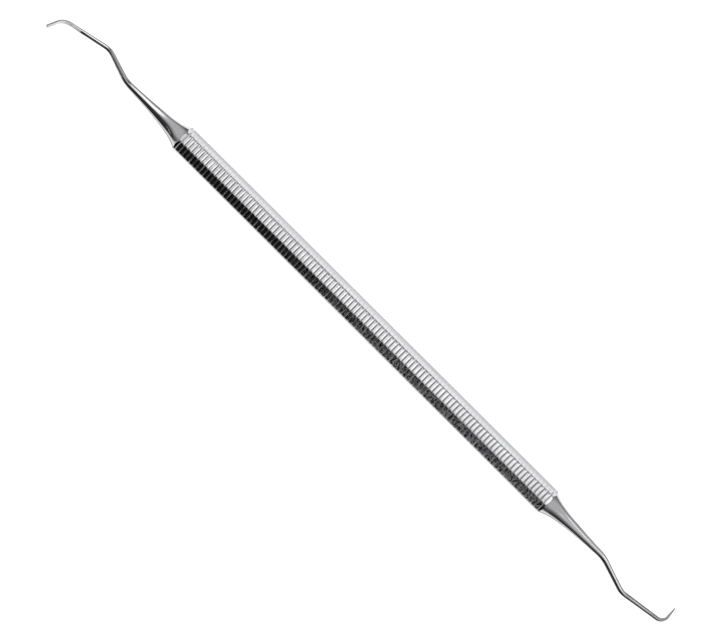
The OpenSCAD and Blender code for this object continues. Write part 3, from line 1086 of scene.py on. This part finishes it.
def make_card(name, layer, outline, lift=0.0, **light):
    """One card, a little above the one before it."""
    height = lift - FLOOR_GAP * (1 - (layer + 1) / (len(CARDS) + 1))
    mesh = bpy.data.meshes.new(name)
    mesh.from_pydata([(x * MM, y * MM, height) for x, y in outline], [], [range(len(outline))])
    mesh.materials.append(graded_card(name, **light))
    card = new_piece(name, mesh)
    card.visible_camera = False
    card.visible_diffuse = False
    card.visible_shadow = False


def make_light(name, size, centre, aim, turn, radiance):
    """A rectangular light that only the steel shows."""
    data = bpy.data.lights.new(name, "AREA")
    data.shape = "RECTANGLE"
    data.size, data.size_y = size
    data.energy = radiance * math.pi * size[0] * size[1]
    light = bpy.data.objects.new(name, data)
    facing = (Vector(aim) - Vector(centre)).to_track_quat("-Z", "Y").to_matrix().to_4x4()
    light.matrix_world = Matrix.Translation(centre) @ facing @ Matrix.Rotation(math.radians(turn), 4, "Z")
    light.visible_camera = False
    light.visible_diffuse = False
    bpy.context.scene.collection.objects.link(light)


def make_camera(scene):
    """The camera, nearly straight above the tool and turned so that the handle lies along the diagonal."""
    data = bpy.data.cameras.new("camera")
    data.sensor_width = SENSOR_WIDTH
    data.lens = SENSOR_WIDTH * CAMERA_DISTANCE / VIEW_WIDTH
    data.clip_end = 50.0
    camera = bpy.data.objects.new("camera", data)
    camera.matrix_world = (
        Matrix.Translation(VIEW_CENTRE)
        @ Matrix.Rotation(VIEW_TILT, 4, "X")
        @ Matrix.Rotation(VIEW_TURN, 4, "Z")
        @ Matrix.Translation((0, 0, CAMERA_DISTANCE)))
    scene.collection.objects.link(camera)
    scene.camera = camera


class SCALER_OT_stage(bpy.types.Operator):
    """Makes the floor, the lights and the camera"""
    bl_idname = "scaler.stage"
    bl_label = "Stage"

    def execute(self, context):
        scene = context.scene
        scene.view_settings.view_transform = "Standard"
        make_floor(scene.scaler.colours)
        for layer, (name, settings) in enumerate(CARDS.items()):
            make_card(name, layer, **settings)
        studio_world(scene)
        for name, settings in LIGHTS.items():
            make_light(name, *settings)
        make_camera(scene)
        return {"FINISHED"}


OPERATORS = (SCALER_OT_stage, SCALER_OT_handle, SCALER_OT_working_ends, SCALER_OT_plugs)


class SCALER_PT_panel(bpy.types.Panel):
    """Sidebar panel with the steps and their sizes"""
    bl_idname = "SCALER_PT_panel"
    bl_label = "Hand scaler"
    bl_space_type = "VIEW_3D"
    bl_region_type = "UI"
    bl_category = "Scaler"

    def draw(self, context):
        for operator in OPERATORS:
            self.layout.operator(operator.bl_idname)
        settings = context.scene.scaler
        for part in ("handle", "shank", "open_end", "closed_end", "colours"):
            group = getattr(settings, part)
            box = self.layout.box()
            for name in group.bl_rna.properties.keys():
                if name not in ("rna_type", "name"):
                    box.prop(group, name)


CLASSES = (
    HandleSizes, ShankSizes, OpenEndSizes, ClosedEndSizes, FinishColours, ScalerSettings,
    *OPERATORS, SCALER_PT_panel)


def register():
    for cls in CLASSES:
        bpy.utils.register_class(cls)
    bpy.types.Scene.scaler = PointerProperty(type=ScalerSettings)


def unregister():
    del bpy.types.Scene.scaler
    for cls in reversed(CLASSES):
        bpy.utils.unregister_class(cls)


def main():
    """Builds everything in order."""
    register()
    bpy.ops.scaler.stage()
    bpy.ops.scaler.handle()
    bpy.ops.scaler.working_ends()
    bpy.ops.scaler.plugs()


if __name__ == "__main__":
    main()
